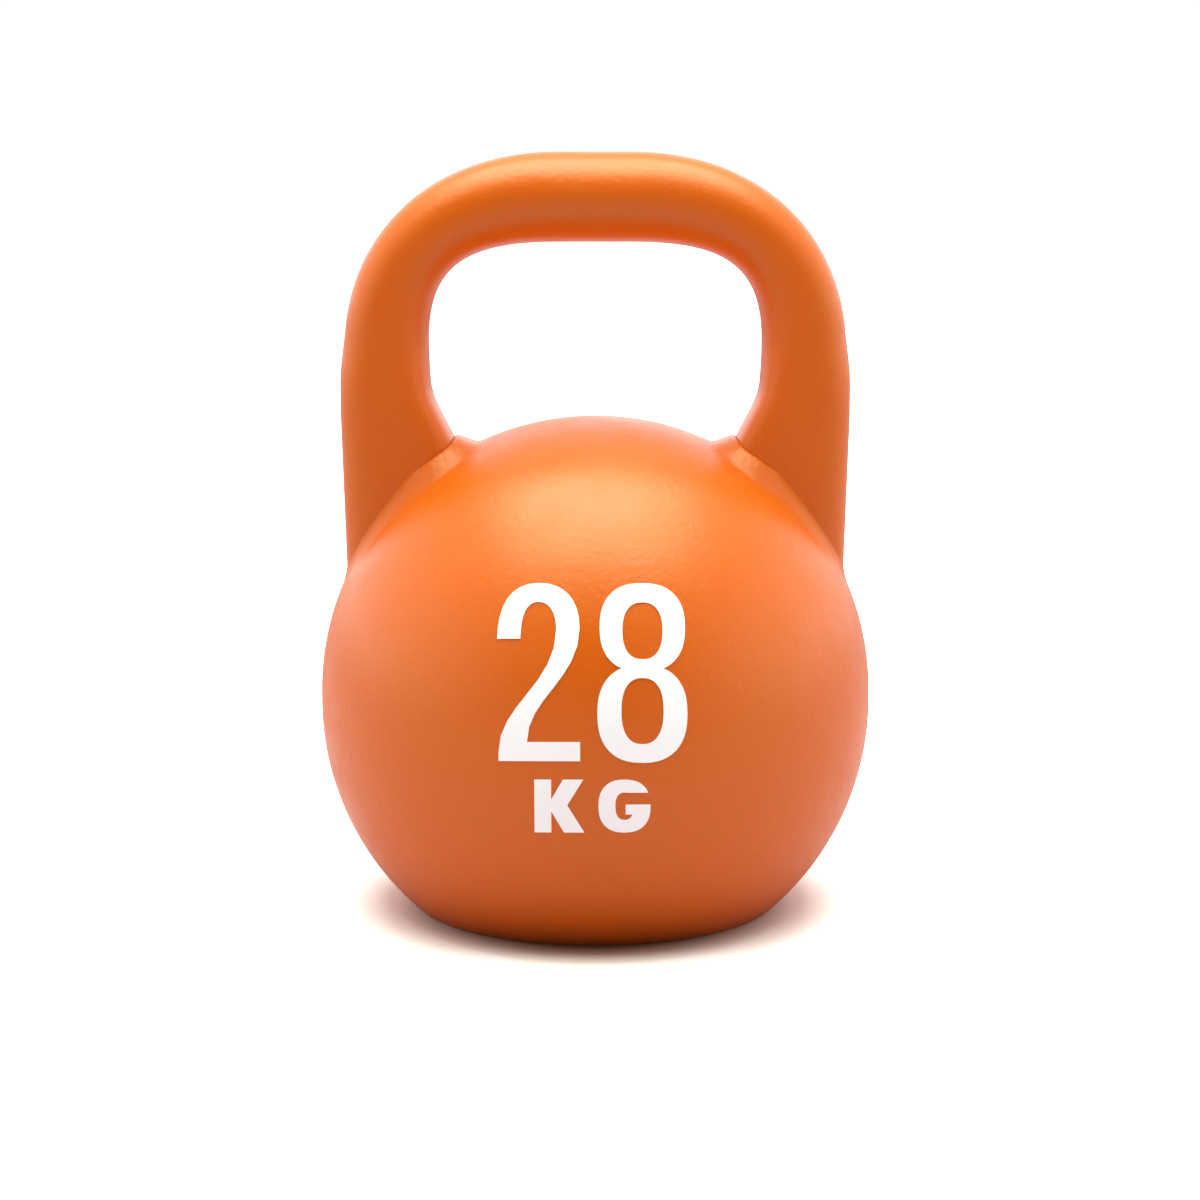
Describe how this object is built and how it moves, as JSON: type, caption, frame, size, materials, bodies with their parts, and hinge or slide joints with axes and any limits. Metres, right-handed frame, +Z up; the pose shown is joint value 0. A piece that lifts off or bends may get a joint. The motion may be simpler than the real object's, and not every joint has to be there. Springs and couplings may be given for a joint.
{
  "type": "competition kettlebell",
  "caption": "Steel competition kettlebell: a bent bar handle welded to a ballast-filled ball with a flat base, satin orange coat and white weight numerals.",
  "frame": {"origin": "centre of the flat base, on the surface that the kettlebell stands on", "axes": "+Z up through the middle of the grip, +X along the grip bar, and the numerals face -Y"},
  "size_m": [0.21, 0.2102, 0.2876],
  "materials": {
    "coat": "satin",
    "ballast": "matte",
    "plug_steel": "satin",
    "seal_rubber": "matte",
    "ink": "satin"
  },
  "bodies": {
    "root": {"handle": "coat", "upper_shell": "coat", "lower_shell": "coat", "band_weld": "coat", "left_foot_weld": "coat", "right_foot_weld": "coat", "ballast": "ballast", "filler_plug": "plug_steel", "plug_seal": "seal_rubber", "numeral_2": "ink", "numeral_8": "ink", "unit_mark": "ink"}
  },
  "joints": []
}
